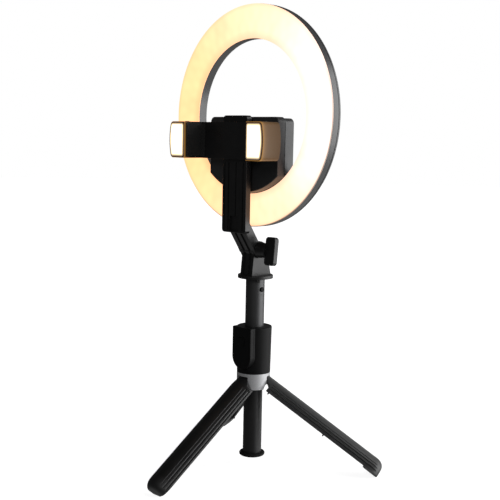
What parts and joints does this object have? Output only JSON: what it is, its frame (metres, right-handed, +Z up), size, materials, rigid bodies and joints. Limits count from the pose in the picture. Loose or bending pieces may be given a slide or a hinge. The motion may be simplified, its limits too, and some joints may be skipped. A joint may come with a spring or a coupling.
{
  "type": "ring light on folding tripod mast",
  "caption": "Ring light on a telescopic mast with a folding tripod, a tilting arm, and a turning phone clamp whose jaws carry fill lights.",
  "frame": {"origin": "point on the floor under the mast axis, in the plane that the three feet stand on", "axes": "+Z up along the mast, the light faces -Y, +X is to the right of someone who looks at the lit face"},
  "size_m": [0.228, 0.205, 0.4424],
  "materials": {
    "leg_plastic": "satin black moulding with a fine grain",
    "foot_rubber": "soft black rubber",
    "hub_silver": "satin silver",
    "pin_steel": "turned steel",
    "column_black": "satin black",
    "tube_gunmetal": "dark anodised",
    "button_grey": "fine matte",
    "handle_plastic": "satin black",
    "circuit_board": "green solder mask",
    "cell_steel": "bright",
    "battery_wrap": "silver foil wrap",
    "head_plastic": "satin black",
    "clamp_plastic": "satin black",
    "jaw_glow": "opal, lit warm white",
    "pad_rubber": "soft black",
    "ring_plastic": "satin black",
    "ring_glow": "opal, lit warm white",
    "led_phosphor": "yellow phosphor"
  },
  "bodies": {
    "tripod": {"leg_hub": "hub_silver", "leg_pins": "pin_steel", "centre_column": "column_black", "column_foot": "column_black", "mast_tube": "tube_gunmetal", "handle_shell": "handle_plastic"},
    "leg_body_front": {"leg_front": "leg_plastic", "leg_foot_front": "foot_rubber"},
    "leg_body_right": {"leg_right": "leg_plastic", "leg_foot_right": "foot_rubber"},
    "leg_body_left": {"leg_left": "leg_plastic", "leg_foot_left": "foot_rubber"},
    "remote": {"remote_front": "handle_plastic", "remote_back": "handle_plastic", "remote_board": "circuit_board", "remote_cell": "cell_steel"},
    "remote_key": {"remote_button": "button_grey"},
    "mast_lock": {"mast_button": "button_grey"},
    "section_2": {"mast_section_2": "tube_gunmetal"},
    "section_3": {"mast_section_3": "tube_gunmetal"},
    "section_4": {"mast_section_4": "tube_gunmetal"},
    "head": {"mast_section_5": "tube_gunmetal", "head_base": "head_plastic"},
    "arm": {"arm_link": "head_plastic", "arm_rail": "head_plastic", "arm_screws": "pin_steel", "tilt_nut": "pin_steel", "ring_hinge_pin": "pin_steel"},
    "knob": {"tilt_knob": "head_plastic", "tilt_stud": "pin_steel"},
    "clamp": {"clamp_front": "clamp_plastic", "clamp_back": "clamp_plastic", "clamp_pivot": "pin_steel"},
    "pinion": {"jaw_pinion": "clamp_plastic"},
    "ring": {"ring_housing": "ring_plastic", "ring_diffuser": "ring_glow", "ring_led_board": "circuit_board", "ring_leds": "led_phosphor", "box_front": "ring_plastic", "box_rear": "ring_plastic", "box_screws": "pin_steel", "battery": "battery_wrap", "control_board": "circuit_board", "charge_socket": "cell_steel"},
    "jaw_left": {"jaw_left_shell": "clamp_plastic", "jaw_left_lens": "jaw_glow", "jaw_left_led_board": "circuit_board", "jaw_left_pad": "pad_rubber", "jaw_left_cell": "battery_wrap"},
    "jaw_left_key": {"jaw_left_button": "button_grey"},
    "jaw_right": {"jaw_right_shell": "clamp_plastic", "jaw_right_lens": "jaw_glow", "jaw_right_led_board": "circuit_board", "jaw_right_pad": "pad_rubber", "jaw_right_cell": "battery_wrap"},
    "jaw_right_key": {"jaw_right_button": "button_grey"},
    "mode_key": {"button_mode": "button_grey"},
    "power_key": {"button_power": "button_grey"},
    "dimmer_key": {"button_dimmer": "button_grey"}
  },
  "joints": [
    {"name": "front_leg_fold", "type": "hinge", "parent": "tripod", "child": "leg_body_front", "pos_m": [0.00041, -0.01179, 0.0855], "axis": [0.9994, 0.0349, 0], "range_deg": [0, 56]},
    {"name": "right_leg_fold", "type": "hinge", "parent": "tripod", "child": "leg_body_right", "pos_m": [0.01001, 0.00625, 0.0855], "axis": [-0.5299, 0.848, 0], "range_deg": [0, 56]},
    {"name": "left_leg_fold", "type": "hinge", "parent": "tripod", "child": "leg_body_left", "pos_m": [-0.01042, 0.00554, 0.0855], "axis": [-0.4695, -0.8829, 0], "range_deg": [0, 56]},
    {"name": "remote_undock", "type": "slide", "parent": "tripod", "child": "remote", "axis": [0, -1, 0], "range_m": [0, 0.025]},
    {"name": "remote_press", "type": "slide", "parent": "remote", "child": "remote_key", "axis": [0, 1, 0], "range_m": [0, 0.0009], "stiffness_N_per_m": 300},
    {"name": "mast_lock_press", "type": "slide", "parent": "tripod", "child": "mast_lock", "axis": [-1, 0, 0], "range_m": [0, 0.0007], "stiffness_N_per_m": 400},
    {"name": "mast_slide_2", "type": "slide", "parent": "tripod", "child": "section_2", "axis": [0, 0, 1], "range_m": [0, 0.135]},
    {"name": "mast_slide_3", "type": "slide", "parent": "section_2", "child": "section_3", "axis": [0, 0, 1], "range_m": [0, 0.135]},
    {"name": "mast_slide_4", "type": "slide", "parent": "section_3", "child": "section_4", "axis": [0, 0, 1], "range_m": [0, 0.135]},
    {"name": "mast_slide_5", "type": "slide", "parent": "section_4", "child": "head", "axis": [0, 0, 1], "range_m": [0, 0.135]},
    {"name": "head_tilt", "type": "hinge", "parent": "head", "child": "arm", "pos_m": [0, -0.0055, 0.2145], "axis": [1, 0, 0], "range_deg": [-90, 35]},
    {"name": "knob_turn", "type": "hinge", "parent": "arm", "child": "knob", "pos_m": [0, -0.0055, 0.2145], "axis": [1, 0, 0], "range_deg": [-45, 360]},
    {"name": "clamp_turn", "type": "hinge", "parent": "arm", "child": "clamp", "pos_m": [0, -0.031, 0.3168], "axis": [0, -1, 0], "range_deg": [-90, 90]},
    {"name": "jaw_left_slide", "type": "slide", "parent": "clamp", "child": "jaw_left", "axis": [-1, 0, 0], "range_m": [-0.009, 0.006]},
    {"name": "jaw_right_slide", "type": "slide", "parent": "clamp", "child": "jaw_right", "axis": [1, 0, 0], "range_m": [-0.009, 0.006]},
    {"name": "pinion_turn", "type": "hinge", "parent": "clamp", "child": "pinion", "pos_m": [0, -0.0327, 0.3168], "axis": [0, -1, 0], "range_deg": [-200, 200]},
    {"name": "jaw_left_light_press", "type": "slide", "parent": "jaw_left", "child": "jaw_left_key", "axis": [0, 0, -1], "range_m": [0, 0.0008], "stiffness_N_per_m": 400},
    {"name": "jaw_right_light_press", "type": "slide", "parent": "jaw_right", "child": "jaw_right_key", "axis": [0, 0, -1], "range_m": [0, 0.0008], "stiffness_N_per_m": 400},
    {"name": "ring_tilt", "type": "hinge", "parent": "arm", "child": "ring", "pos_m": [0, -0.0224, 0.331], "axis": [1, 0, 0], "range_deg": [0, 25]},
    {"name": "mode_press", "type": "slide", "parent": "ring", "child": "mode_key", "axis": [0, -1, 0], "range_m": [0, 0.0008], "stiffness_N_per_m": 400},
    {"name": "power_press", "type": "slide", "parent": "ring", "child": "power_key", "axis": [0, -1, 0], "range_m": [0, 0.0008], "stiffness_N_per_m": 400},
    {"name": "dimmer_press", "type": "slide", "parent": "ring", "child": "dimmer_key", "axis": [0, -1, 0], "range_m": [0, 0.0008], "stiffness_N_per_m": 400}
  ],
  "couplings": [
    {"joint": "jaw_right_slide", "follows": "jaw_left_slide", "ratio": 1},
    {"joint": "pinion_turn", "follows": "jaw_left_slide", "rad_per_m": 277.78}
  ]
}
